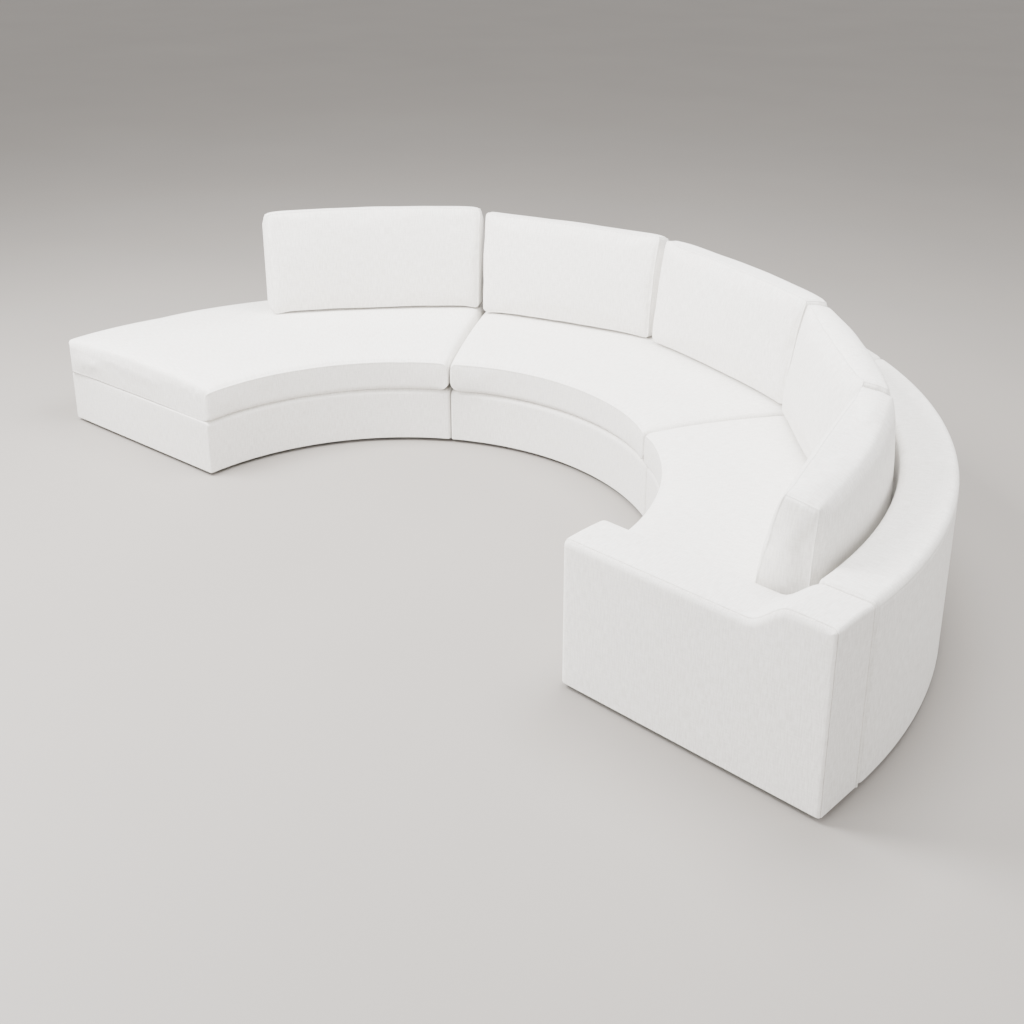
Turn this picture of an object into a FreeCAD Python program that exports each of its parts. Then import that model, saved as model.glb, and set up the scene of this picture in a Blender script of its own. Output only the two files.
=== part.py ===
import FreeCAD, Part
import Sketcher
import math
import os
from types import SimpleNamespace

Vector = FreeCAD.Vector
doc = FreeCAD.newDocument("CurvedSofa")

# Driving sizes, in millimetres and degrees. Angles are measured around the centre of the curve,
# from the inner face of the arm (0) over the middle of the back (90) to the open end.
DRIVING = {
    "outer_r": (2145, "radius of the outside back"),
    "base_front_r": (1100, "radius of the base front"),
    "seat_overhang": (12, "how far the seat cushions stand out over the base front"),
    "back_depth": (200, "thickness of the low back, front to rear"),
    "right_span": (57.5, "angle of the module with the arm"),
    "middle_span": (65, "angle of the armless module"),
    "left_span": (62, "angle of the daybed module"),
    "left_back_span": (29.5, "angle of the low back on the daybed module"),
    "seam_gap": (0.2, "angle of the gap between neighbouring modules"),
    "end_angle": (0.6, "angle that an end panel takes up"),
    "ground_gap": (18, "height of the feet"),
    "base_top": (262, "height of the deck under the seat cushions"),
    "seat_edge": (428, "height of the seat cushion at its edges"),
    "seat_crown": (22, "rise of the seat cushion towards its middle"),
    "back_top": (650, "height of the low back"),
    "arm_top": (565, "height of the level part of the arm"),
    "arm_width": (217, "thickness of the arm"),
    "arm_setback": (30, "how far the arm front stands behind the base front"),
    "arm_rise": (133, "length of the arm's rise towards the back"),
    "arm_rear_top": (179, "length of the arm's top at the height of the back"),
    "arm_round": (32, "corner radius of the arm front"),
    "wall": (14, "thickness of padding and cloth"),
    "edge_round": (24, "corner radius of the padded covers"),
    "board": (18, "thickness of the frame boards"),
    "rib_inset": (0.6, "angle from an end panel to the first rib"),
    "post_inset": (0.3, "angle by which the end posts stand further in than the ribs"),
    "post_width": (45, "width of a back post"),
    "strap": (3, "thickness of a webbing strap"),
    "strap_width": (60, "width of a webbing strap"),
    "cloth": (1.5, "thickness of the dust cover"),
    "fit": (0.4, "clearance between parts of one module"),
    "rest": (0.5, "clearance between a cushion and what it rests on"),
    "seat_play": (2, "clearance behind a seat cushion"),
    "seat_inset": (0.1, "angle from a module end to its seat cushion"),
    "seat_notch_gap": (0.15, "angle between the free end of the back and the daybed cushion"),
    "tail_gap": (0.02, "angle between the back cover and the tail cover"),
    "foot_r": (30, "radius of a foot"),
    "foot_inset": (3.2, "angle from a module end to its corner feet"),
    "tongue_width": (60, "width of a connector tongue"),
    "tongue_height": (4.4, "thickness of a connector tongue"),
    "tongue_reach": (60, "how far a tongue enters the receiver"),
    "tongue_foot": (100, "length of a tongue under its own module"),
    "receiver_wall": (3, "sheet thickness of a receiver"),
    "receiver_play": (1, "play of a tongue in its receiver"),
    "receiver_setback": (6, "distance of a receiver from the seam"),
    "receiver_length": (70, "length of a receiver"),
    "connector_inset": (190, "distance of the connectors from the base front and the outside back"),
    "arm_play": (0.5, "clearance between the arm and the module"),
    "arm_edge": (22, "radius of the arm's long edges"),
    "arm_foot_inset": (75, "distance of the arm's feet from its ends"),
    "bolt_r": (4, "radius of an arm bolt"),
    "nut_gap": (0.4, "clearance between a nut and the rib"),
    "nut_play": (0.2, "clearance of a nut around its bolt"),
    "bolt_play": (1.2, "clearance around an arm bolt"),
    "bolt_length": (100, "length of an arm bolt under its head"),
    "bolt_near": (170, "distance of the front bolts from the arm front"),
    "bolt_far": (295, "distance of the rear bolts from the outside back"),
    "bolt_low": (90, "height of the lower bolts"),
    "bolt_high": (190, "height of the upper bolts"),
    "bolt_head_r": (7.5, "radius of a bolt head or nut"),
    "bolt_head": (5.5, "thickness of a bolt head or nut"),
    "cover": (4, "thickness of a cushion cover with its wadding"),
    "fill_angle": (1.2, "angle from the end of a cushion to its filling"),
    "seat_soft": (18, "radius of the edges around the ends of a seat cushion"),
    "cushion_soft": (32, "radius of the edges around the ends of a back cushion"),
    "cushion_gap": (0.5, "angle between neighbouring back cushions"),
    "cushion_first": (1.0, "angle where the first back cushion starts"),
    "cushion_1_span": (34.7, "angle of the back cushion on the daybed module"),
    "cushion_3_span": (33.5, "angle of the right cushion of the middle module"),
    "cushion_5_span": (28.2, "angle of the cushion beside the arm"),
    "cushion_end_front": (54, "how much further back the front stands at the ends of a back cushion"),
    "cushion_end_rear": (6, "how much further forward the rear stands at the ends of a back cushion"),
    "cushion_end_crest": (22, "how much further back the top of the rear stands at the ends"),
    "cushion_end_drop": (4, "how much lower a back cushion is at its ends"),
    "cushion_bulge": (30, "swell of the front of a back cushion"),
    "cushion_crown": (16, "swell of the top of a back cushion"),
    "cushion_rear_bulge": (10, "swell of the rear of a back cushion"),
    "cushion_end_slack": (0.4, "share of its swell that a back cushion loses at its ends"),
    "cushion_shoulder": (0.6, "where a back cushion's shoulders are, as a share of its half length"),
    "seat_front_bulge": (6.6, "swell of the front of a seat cushion"),
}

# Each loose back cushion stands in its own way, measured from the low back and from the seat edge
CUSHIONS = [
    (197, 15, 139, 31, 534, 0, 0),
    (255, 17, 181, 55, 522, 10, 0),
    (291, 19, 209, 81, 512, 14, 0),
    (305, 19, 215, 79, 498, 18, 28),
    (297, 17, 212, 62, 480, 55, 0),
]
CUSHION_SIZES = (
    ("front", "distance of the cushion's front from the back, at its middle and at seat height"),
    ("rear", "distance of the cushion's rear from the back, at its middle and at seat height"),
    ("front_top", "distance of the cushion's front from the back, at its middle and at its top"),
    ("rear_top", "distance of the cushion's rear from the back, at its middle and at its top"),
    ("height", "height of the cushion's top over the seat edge"),
    ("sink", "how much lower the cushion's top is at its end towards the arm"),
    ("skew", "how much further forward the cushion stands at its end away from the arm"),
)
for cushion, numbers in enumerate(CUSHIONS, start=1):
    for (name, note), number in zip(CUSHION_SIZES, numbers):
        DRIVING["cushion_%d_%s" % (cushion, name)] = (number, note)

sheet = doc.addObject("Spreadsheet::Sheet", "Sizes")
for row, (alias, (number, note)) in enumerate(DRIVING.items(), start=1):
    sheet.set("A%d" % row, alias)
    sheet.set("B%d" % row, str(number))
    sheet.set("C%d" % row, note)
    sheet.setAlias("B%d" % row, alias)
doc.recompute()


class Size:
    """A number together with the sheet expression that gives it."""

    def __init__(self, value, text):
        self.value = value
        self.text = text

    def __add__(self, other):
        other = as_size(other)
        return Size(self.value + other.value, "(%s + %s)" % (self.text, other.text))

    def __sub__(self, other):
        other = as_size(other)
        return Size(self.value - other.value, "(%s - %s)" % (self.text, other.text))

    def __mul__(self, other):
        other = as_size(other)
        return Size(self.value * other.value, "(%s * %s)" % (self.text, other.text))

    def __truediv__(self, other):
        other = as_size(other)
        return Size(self.value / other.value, "(%s / %s)" % (self.text, other.text))


def as_size(number):
    return number if isinstance(number, Size) else Size(number, str(number))


def root(size):
    return Size(size.value ** 0.5, "sqrt(%s)" % size.text)


def tangent(angle):
    return Size(math.tan(math.radians(angle.value)), "tan(%s)" % angle.text)


s = SimpleNamespace(**{alias: Size(float(sheet.get(alias)), "Sizes." + alias) for alias in DRIVING})

# Sizes that follow from the driving ones
s.centre_y = (s.arm_width - s.outer_r) / 2
s.back_front_r = s.outer_r - s.back_depth
s.seat_front_r = s.base_front_r - s.seat_overhang
s.arm_front = s.base_front_r + s.arm_setback
s.arm_rise_end = s.outer_r - s.arm_rear_top
s.arm_rise_start = s.arm_rise_end - s.arm_rise
s.seam_right = s.right_span
s.seam_left = s.right_span + s.middle_span
s.open_end = s.seam_left + s.left_span
s.frame_low = s.ground_gap + s.cloth + s.fit
s.frame_top = s.base_top - s.wall - s.strap - s.fit * 2
s.seat_low = s.base_top + s.rest
s.back_in = s.back_front_r + s.wall + s.fit
s.back_out = s.outer_r - s.wall - s.fit
s.base_in = s.base_front_r + s.wall + s.fit
s.top_rail_low = s.back_top - s.wall - s.fit - s.board

nodes = []


def node(thing, label):
    """Names a finished sub-part and puts it on the list that is written out."""
    thing.Label = label
    nodes.append(thing)
    return thing


def group(label, members):
    """Several like pieces that share one node."""
    compound = doc.addObject("Part::Compound", label)
    compound.Links = members
    for number, member in enumerate(members, start=1):
        member.Label = "%s_%d" % (label, number)
    return node(compound, label)


def new_body(name, turn=None):
    """A body whose Z axis is the centre of the curve, turned to its place around it."""
    body = doc.addObject("PartDesign::Body", name)
    angle = turn.value if turn else 0
    turned = FreeCAD.Rotation(Vector(0, 0, 1), angle)
    body.Placement = FreeCAD.Placement(Vector(0, s.centre_y.value, 0), turned)
    body.setExpression("Placement.Base.y", s.centre_y.text)
    if turn:
        body.setExpression("Placement.Rotation.Angle", turn.text)
    return body


def upright_sketch(body, name, turn=None, shift=None):
    """A sketch in the plane through the centre line: x runs outwards and y runs up."""
    sketch = body.newObject("Sketcher::SketchObject", name)
    plane = [f for f in body.Origin.OriginFeatures if f.Role == "XZ_Plane"][0]
    sketch.AttachmentSupport = [(plane, "")]
    sketch.MapMode = "FlatFace"
    if turn:
        sketch.AttachmentOffset = FreeCAD.Placement(Vector(), FreeCAD.Rotation(Vector(0, 1, 0), turn.value))
        sketch.setExpression("AttachmentOffset.Rotation.Angle", turn.text)
    if shift:
        sketch.AttachmentOffset = FreeCAD.Placement(Vector(0, 0, shift.value), FreeCAD.Rotation())
        sketch.setExpression("AttachmentOffset.Base.z", shift.text)
    return sketch


def bind(sketch, kind, refs, size):
    index = sketch.addConstraint(Sketcher.Constraint(kind, *refs, size.value))
    sketch.setExpression("Constraints[%d]" % index, size.text)


def draw_outline(sketch, corners):
    """Closed outline, counter-clockwise. A corner is (x, y) or (x, y, swell), where swell is how far
    the side that starts there arches outwards (or inwards where it is below zero)."""
    count = len(corners)
    ends = []
    for i, corner in enumerate(corners):
        after = corners[(i + 1) % count]
        start = Vector(corner[0].value, corner[1].value, 0)
        end = Vector(after[0].value, after[1].value, 0)
        if len(corner) == 2:
            geo = sketch.addGeometry(Part.LineSegment(start, end))
            ends.append((geo, 1, 2))
            continue
        swell = corner[2]
        along = end - start
        outwards = Vector(along.y, -along.x, 0).normalize()
        geo = sketch.addGeometry(Part.Arc(start, (start + end) * 0.5 + outwards * swell.value, end))
        ends.append((geo, 1, 2) if swell.value > 0 else (geo, 2, 1))
    for i, corner in enumerate(corners):
        geo, first, last = ends[i]
        next_geo, next_first, _ = ends[(i + 1) % count]
        sketch.addConstraint(Sketcher.Constraint("Coincident", geo, last, next_geo, next_first))
        bind(sketch, "DistanceX", (-1, 1, geo, first), corner[0])
        bind(sketch, "DistanceY", (-1, 1, geo, first), corner[1])
    for i, corner in enumerate(corners):
        if len(corner) == 3:
            after = corners[(i + 1) % count]
            swell = corner[2] if corner[2].value > 0 else corner[2] * -1
            across = after[0] - corner[0]
            up = after[1] - corner[1]
            chord_squared = across * across + up * up
            radius = (chord_squared / 4 + swell * swell) / (swell * 2)
            bind(sketch, "Radius", (ends[i][0],), radius)


# A face or edge counts as level, or as lying on a side, within this
LEVEL = 0.01
# How far a quarter circle arches out from its chord, as a share of its radius
QUARTER = 1 - math.sqrt(0.5)


def box(x0, x1, y0, y1):
    return [(x0, y0), (x1, y0), (x1, y1), (x0, y1)]


def swing(body, name, corners, angle, turn=None, cut=False):
    """Swings an outline around the centre line, the same amount to both sides."""
    sketch = upright_sketch(body, name + "_outline", turn)
    draw_outline(sketch, corners)
    feature = body.newObject("PartDesign::Groove" if cut else "PartDesign::Revolution", name)
    feature.Profile = sketch
    feature.ReferenceAxis = (sketch, ["V_Axis"])
    feature.Midplane = True
    feature.Angle = angle.value
    feature.setExpression("Angle", angle.text)
    sketch.Visibility = False
    body.Tip = feature
    return feature


def ring(name, corners, start, end):
    """A curved piece between two angles."""
    body = new_body(name, (start + end) / 2)
    swing(body, name + "_swing", corners, end - start)
    return body


def plate(name, corners, thickness, turn):
    """A flat upright piece that stands along a radius, the same amount to both sides of it."""
    body = new_body(name, turn)
    sketch = upright_sketch(body, name + "_outline")
    draw_outline(sketch, corners)
    pad = body.newObject("PartDesign::Pad", name + "_pad")
    pad.Profile = sketch
    pad.Midplane = True
    pad.Length = thickness.value
    pad.setExpression("Length", thickness.text)
    sketch.Visibility = False
    body.Tip = pad
    return body


def spread(start, end, count):
    """Angles spread evenly from start to end, both included."""
    step = (end - start) / (count - 1)
    return [start + step * i for i in range(count)]


def padded_base_outline():
    """Cross-section of the cloth over the base front and the deck."""
    s_in = s.base_front_r + s.wall
    rear = s.back_front_r - s.fit
    low = s.base_top - s.wall
    return [
        (s.base_front_r, s.ground_gap),
        (s_in, s.ground_gap),
        (s_in, low),
        (rear, low),
        (rear, s.base_top),
        (s.base_front_r + s.edge_round, s.base_top, s.edge_round * QUARTER),
        (s.base_front_r, s.base_top - s.edge_round),
    ]


def padded_back_outline():
    """Cross-section of the cloth that goes up the front of the back, over it and down the outside."""
    inner = s.back_front_r + s.wall
    outer = s.outer_r - s.wall
    top = s.back_top - s.wall
    return [
        (s.outer_r, s.ground_gap),
        (s.outer_r, s.back_top - s.edge_round, s.edge_round * QUARTER),
        (s.outer_r - s.edge_round, s.back_top),
        (s.back_front_r + s.edge_round, s.back_top, s.edge_round * QUARTER),
        (s.back_front_r, s.back_top - s.edge_round),
        (s.back_front_r, s.base_top - s.wall),
        (inner, s.base_top - s.wall),
        (inner, top),
        (outer, top),
        (outer, s.ground_gap),
    ]


def padded_tail_outline():
    """Cross-section of the cloth over the open deck behind the seat line and down the outside."""
    low = s.base_top - s.wall
    outer = s.outer_r - s.wall
    return [
        (s.outer_r, s.ground_gap),
        (s.outer_r, s.base_top - s.edge_round, s.edge_round * QUARTER),
        (s.outer_r - s.edge_round, s.base_top),
        (s.back_front_r, s.base_top),
        (s.back_front_r, low),
        (outer, low),
        (outer, s.ground_gap),
    ]


def side_outline():
    """Outline of an end panel: the base and, behind it, the low back."""
    return [
        (s.base_front_r, s.ground_gap),
        (s.outer_r, s.ground_gap),
        (s.outer_r, s.back_top - s.edge_round, s.edge_round * QUARTER),
        (s.outer_r - s.edge_round, s.back_top),
        (s.back_front_r + s.edge_round, s.back_top, s.edge_round * QUARTER),
        (s.back_front_r, s.back_top - s.edge_round),
        (s.back_front_r, s.base_top),
        (s.base_front_r + s.edge_round, s.base_top, s.edge_round * QUARTER),
        (s.base_front_r, s.base_top - s.edge_round),
    ]


def open_outline():
    """Outline of the end panel where there is no back."""
    return [
        (s.base_front_r, s.ground_gap),
        (s.outer_r, s.ground_gap),
        (s.outer_r, s.base_top - s.edge_round, s.edge_round * QUARTER),
        (s.outer_r - s.edge_round, s.base_top),
        (s.base_front_r + s.edge_round, s.base_top, s.edge_round * QUARTER),
        (s.base_front_r, s.base_top - s.edge_round),
    ]


def back_end_outline():
    """Outline of the panel on the free end of the low back, above the deck."""
    return [
        (s.back_front_r, s.base_top + s.fit),
        (s.outer_r, s.base_top + s.fit),
        (s.outer_r, s.back_top - s.edge_round, s.edge_round * QUARTER),
        (s.outer_r - s.edge_round, s.back_top),
        (s.back_front_r + s.edge_round, s.back_top, s.edge_round * QUARTER),
        (s.back_front_r, s.back_top - s.edge_round),
    ]


def seat_outline(rear, inset):
    """Cross-section of a seat cushion: crowned top, swollen front and rounded edges."""
    soft = s.edge_round
    front = s.seat_front_r + inset
    low = s.seat_low + inset
    top = s.seat_edge - inset
    back = rear - inset
    return [
        (front + soft, low),
        (back, low),
        (back, top, s.seat_crown),
        (front + soft, top, soft * QUARTER),
        (front, top - soft, s.seat_front_bulge),
        (front, low + soft, soft * QUARTER),
    ]


def shell(label, outside, inside):
    """Cushion cover: the outside form with the filling taken out of it."""
    cover = doc.addObject("Part::Cut", label)
    cover.Base = outside
    cover.Tool = inside
    return node(cover, label)


def pin(name, radius, length, x, y, z):
    """Round bar that lies across the arm, towards the higher y."""
    rod = doc.addObject("Part::Cylinder", name)
    rod.Placement = FreeCAD.Placement(Vector(), FreeCAD.Rotation(Vector(1, 0, 0), -90))
    rod.setExpression("Radius", radius.text)
    rod.setExpression("Height", length.text)
    rod.setExpression("Placement.Base.x", x.text)
    rod.setExpression("Placement.Base.y", y.text)
    rod.setExpression("Placement.Base.z", z.text)
    return rod


def bolt(along, up, head_face):
    """Bolt whose head bears on the arm's inner board."""
    face_y = s.centre_y - head_face
    head = pin("bolt_head", s.bolt_head_r, s.bolt_head, along, face_y - s.bolt_head, up)
    shank = pin("bolt_shank", s.bolt_r, s.bolt_length, along, face_y, up)
    whole = doc.addObject("Part::Fuse", "bolt")
    whole.Base = head
    whole.Tool = shank
    return whole


def nut(along, up, rib_angle):
    """Round nut behind the first rib, bored for its bolt."""
    inner_y = s.centre_y + along * tangent(rib_angle) + s.board / 2 + s.nut_gap
    blank = pin("nut_blank", s.bolt_head_r, s.bolt_head, along, inner_y, up)
    bore = pin("nut_bore", s.bolt_r + s.nut_play, s.bolt_head, along, inner_y, up)
    whole = doc.addObject("Part::Cut", "nut")
    whole.Base = blank
    whole.Tool = bore
    return whole


def foot(module, x_text, y_text):
    """Low round foot."""
    block = doc.addObject("Part::Cylinder", module + "_foot")
    block.setExpression("Radius", s.foot_r.text)
    block.setExpression("Height", s.ground_gap.text)
    block.setExpression("Placement.Base.x", x_text)
    block.setExpression("Placement.Base.y", y_text)
    return block


def frame(module, start, end, back_end, rib_angles, straps_per_bay):
    """Wooden frame, webbing and dust cover of one module, inside its padded covers."""
    front_out = s.base_in + s.board
    outer_in = s.back_out - s.board
    rails = (("front_rail", s.base_in, front_out), ("outer_rail", outer_in, s.back_out))
    for name, near, far in rails:
        rail_outline = box(near, far, s.frame_low, s.frame_top)
        node(ring(module + "_" + name, rail_outline, start, end), module + "_" + name)
    dust_outline = box(s.base_in, s.back_out, s.ground_gap, s.ground_gap + s.cloth)
    node(ring(module + "_dust_cover", dust_outline, start, end), module + "_dust_cover")

    rib_outline = box(front_out + s.fit, outer_in - s.fit, s.frame_low, s.frame_top)
    ribs = [plate(module + "_rib", rib_outline, s.board, angle) for angle in rib_angles]
    group(module + "_ribs", ribs)

    strap_outline = box(s.base_in, s.back_out, s.frame_top, s.frame_top + s.strap)
    straps = []
    for near, far in zip(rib_angles, rib_angles[1:]):
        for angle in spread(near, far, straps_per_bay + 2)[1:-1]:
            straps.append(plate(module + "_strap", strap_outline, s.strap_width, angle))
    group(module + "_webbing", straps)

    post_outline = box(s.back_in, s.back_out, s.frame_top + s.fit, s.top_rail_low)
    post_angles = [angle for angle in rib_angles if angle.value < back_end.value]
    inwards = s.post_inset
    post_angles[0] = post_angles[0] + inwards
    post_angles[-1] = post_angles[-1] - inwards
    posts = [plate(module + "_post", post_outline, s.post_width, angle) for angle in post_angles]
    group(module + "_back_posts", posts)
    top_outline = box(s.back_in, s.back_out, s.top_rail_low, s.top_rail_low + s.board)
    node(ring(module + "_back_top_rail", top_outline, start, back_end), module + "_back_top_rail")
    return ribs


def bar(name, corners, shift, length, turn=None):
    """A straight piece that runs across a radius, from shift before it towards the lower angles."""
    body = new_body(name, turn)
    sketch = upright_sketch(body, name + "_outline", shift=shift)
    draw_outline(sketch, corners)
    pad = body.newObject("PartDesign::Pad", name + "_pad")
    pad.Profile = sketch
    pad.Length = length.value
    pad.setExpression("Length", length.text)
    sketch.Visibility = False
    body.Tip = pad
    return body


def drill(body, centres, radius):
    """Round holes straight through a piece that stands along a radius."""
    sketch = upright_sketch(body, body.Name + "_holes")
    for x, y in centres:
        geo = sketch.addGeometry(Part.Circle(Vector(x.value, y.value, 0), Vector(0, 0, 1), radius.value))
        bind(sketch, "DistanceX", (-1, 1, geo, 3), x)
        bind(sketch, "DistanceY", (-1, 1, geo, 3), y)
        bind(sketch, "Radius", (geo,), radius)
    pocket = body.newObject("PartDesign::Pocket", body.Name + "_drilled")
    pocket.Profile = sketch
    pocket.Midplane = True
    pocket.Length = s.arm_width.value
    pocket.setExpression("Length", s.arm_width.text)
    sketch.Visibility = False
    body.Tip = pocket


def round_ends(body, radius):
    """Rounds the edges around the two flat ends of a cushion."""
    doc.recompute()
    form = body.Tip
    flat = [f for f in form.Shape.Faces if isinstance(f.Surface, Part.Plane)]
    upright = [f for f in flat if abs(f.normalAt(0, 0).z) < LEVEL]
    around = [edge for face in upright for edge in face.Edges]
    names = []
    for index, edge in enumerate(form.Shape.Edges, start=1):
        if any(edge.isSame(other) for other in around):
            names.append("Edge%d" % index)
    fillet = body.newObject("PartDesign::Fillet", body.Name + "_soft")
    fillet.Base = (form, names)
    fillet.Radius = radius.value
    fillet.setExpression("Radius", radius.text)
    body.Tip = fillet


def cushion_section(number, weight, towards_arm, rear, inset):
    """Upright section through a back cushion. The weight goes from 0 at its middle to 1 at its ends, and
    towards_arm from 0 at its far end to 1 at the end towards the arm. Rear is where the seat cushion below
    it ends. Its straight underside just clears the crowned seat."""
    front, back, front_top, rear_top, height, sink, skew = [
        getattr(s, "cushion_%d_%s" % (number, name)) for name, _ in CUSHION_SIZES
    ]
    behind = s.back_front_r - skew * (as_size(1) - towards_arm)
    front_foot = behind - front + s.cushion_end_front * weight + inset
    rear_foot = behind - back - s.cushion_end_rear * weight - inset
    front_crest = behind - front_top + s.cushion_end_front * weight + inset
    rear_crest = behind - rear_top + s.cushion_end_crest * weight - inset
    top = s.seat_edge + height - s.cushion_end_drop * weight - sink * towards_arm - inset
    softer = as_size(1) - s.cushion_end_slack * weight
    share = (rear_foot - front_foot) / (rear - s.seat_front_r - s.edge_round)
    lift = s.rest + s.seat_crown * share * share + inset
    return [
        (front_foot, seat_height(front_foot, rear) + lift),
        (rear_foot, seat_height(rear_foot, rear) + lift, s.cushion_rear_bulge * softer),
        (rear_crest, top - s.cushion_crown, s.cushion_crown * softer),
        (front_crest, top, s.cushion_bulge * softer),
    ]


def seat_height(radius, rear):
    """Height of the crowned seat cushion at a radius."""
    near = s.seat_front_r + s.edge_round
    across = (radius - (near + rear) / 2) / ((rear - near) / 2)
    return s.seat_edge + s.seat_crown * (as_size(1) - across * across)


def cushion_form(name, cushion, start, end, rear, inset, shrink):
    """Loft of a back cushion through five upright sections that follow the curve."""
    body = new_body(name, (start + end) / 2)
    half = (end - start) / 2 - s.cushion_gap / 2 - shrink
    sections = []
    tip = as_size(1)
    shoulder = s.cushion_shoulder
    for number, share in enumerate((tip, shoulder, None, shoulder * -1, tip * -1), start=1):
        turn = half * share if share else None
        weight = share * share if share else as_size(0)
        towards_arm = (tip - share) / 2 if share else tip / 2
        sketch = upright_sketch(body, "%s_section_%d" % (name, number), turn)
        draw_outline(sketch, cushion_section(cushion, weight, towards_arm, rear, inset))
        sketch.Visibility = False
        sections.append(sketch)
    loft = body.newObject("PartDesign::AdditiveLoft", name + "_loft")
    loft.Profile = sections[0]
    loft.Sections = sections[1:]
    body.Tip = loft
    return body


# Modules, from the arm to the open end
half_gap = s.seam_gap / 2
right = (as_size(0) + half_gap, s.seam_right - half_gap)
middle = (s.seam_right + half_gap, s.seam_left - half_gap)
left = (s.seam_left + half_gap, s.open_end)
left_back_end = s.seam_left + s.left_back_span
seat_rear = s.back_front_r - s.seat_play
none = as_size(0)
end_ribs = {}
end_panels = {}

for module, (start, end) in (("right", right), ("middle", middle), ("left", left)):
    inner_start = start + s.end_angle
    inner_end = end - s.end_angle
    back_end = left_back_end - s.end_angle if module == "left" else inner_end
    node(ring(module + "_base_cover", padded_base_outline(), inner_start, inner_end), module + "_base_cover")
    node(ring(module + "_back_cover", padded_back_outline(), inner_start, back_end), module + "_back_cover")
    first_rib = inner_start + s.rib_inset
    last_rib = inner_end - s.rib_inset
    if module == "left":
        back_rib = back_end - s.rib_inset
        rib_angles = spread(first_rib, back_rib, 3) + spread(back_rib, last_rib, 3)[1:]
        end_ribs[module] = frame(module, inner_start, inner_end, back_end, rib_angles, 2)
    else:
        end_ribs[module] = frame(module, inner_start, inner_end, back_end, spread(first_rib, last_rib, 4), 3)
    panels = [ring(module + "_near_end", side_outline(), start, inner_start)]
    if module == "left":
        panels.append(ring("left_far_end", open_outline(), inner_end, end))
        panels.append(ring("left_back_end", back_end_outline(), back_end, left_back_end))
    else:
        panels.append(ring(module + "_far_end", side_outline(), inner_end, end))
    end_panels[module] = panels
    group(module + "_end_panels", panels)

    seat_start = start + s.seat_inset
    seat_end = end - s.seat_inset
    forms = []
    for name, inset, shrink in (("seat_form", none, none), ("seat_foam", s.cover, s.fill_angle)):
        rear = s.outer_r - s.seat_play if module == "left" else seat_rear
        body = ring(module + "_" + name, seat_outline(rear, inset), seat_start + shrink, seat_end - shrink)
        if name == "seat_form":
            round_ends(body, s.seat_soft)
        if module == "left":
            notch_end = left_back_end + s.seat_notch_gap + shrink
            notch_turn = (seat_start + notch_end) / 2 - (seat_start + seat_end) / 2 - s.end_angle
            notch = box(seat_rear - inset, s.outer_r + s.wall, s.base_top - s.wall, s.back_top)
            notch_angle = notch_end - seat_start + s.end_angle * 2
            swing(body, "left_%s_notch" % name, notch, notch_angle, notch_turn, True)
        forms.append(body)
    node(forms[1], module + "_seat_foam")
    shell(module + "_seat_cover", forms[0], forms[1])

tail_start = left_back_end - s.end_angle + s.tail_gap
node(ring("left_tail_cover", padded_tail_outline(), tail_start, left[1] - s.end_angle), "left_tail_cover")

# Feet, with two more under the arm
for module, (start, end) in (("right", right), ("middle", middle), ("left", left)):
    members = []
    for radius in (s.base_in + s.board + s.foot_r, s.back_out - s.board - s.foot_r):
        for angle in (start + s.foot_inset, (start + end) / 2, end - s.foot_inset):
            members.append(foot(module, "%s * cos(%s)" % (radius.text, angle.text),
                                "%s + %s * sin(%s)" % (s.centre_y.text, radius.text, angle.text)))
    if module == "right":
        across = s.centre_y - s.arm_width / 2
        for along in (s.arm_front + s.arm_foot_inset, s.outer_r - s.arm_foot_inset):
            members.append(foot(module, along.text, across.text))
    group(module + "_feet", members)

# Connectors under the frame: a flat tongue on each outer module slides into a receiver under the middle one
tongue_top = s.ground_gap - s.rest
tongue_low = tongue_top - s.tongue_height
receiver_in = s.tongue_width / 2 + s.receiver_play
receiver_out = receiver_in + s.receiver_wall
receiver_floor = tongue_low - s.receiver_play
connector_radii = (s.base_front_r + s.connector_inset, s.outer_r - s.connector_inset)
tongue_length = s.tongue_foot + s.tongue_reach
receivers = []
for module, seam, ahead in (("left", s.seam_left, True), ("right", s.seam_right, False)):
    tongues = []
    for radius in connector_radii:
        flat = box(radius - s.tongue_width / 2, radius + s.tongue_width / 2, tongue_low, tongue_top)
        back_to = s.tongue_foot if ahead else s.tongue_reach
        tongues.append(bar(module + "_tongue", flat, back_to * -1, tongue_length, seam))
        channel = [
            (radius - receiver_out, receiver_floor - s.receiver_wall),
            (radius + receiver_out, receiver_floor - s.receiver_wall),
            (radius + receiver_out, s.ground_gap),
            (radius + receiver_in, s.ground_gap),
            (radius + receiver_in, receiver_floor),
            (radius - receiver_in, receiver_floor),
            (radius - receiver_in, s.ground_gap),
            (radius - receiver_out, s.ground_gap),
        ]
        begin = s.receiver_setback if ahead else (s.receiver_setback + s.receiver_length) * -1
        receivers.append(bar("receiver", channel, begin, s.receiver_length, seam))
    group(module + "_tongues", tongues)
group("middle_receivers", receivers)

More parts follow.
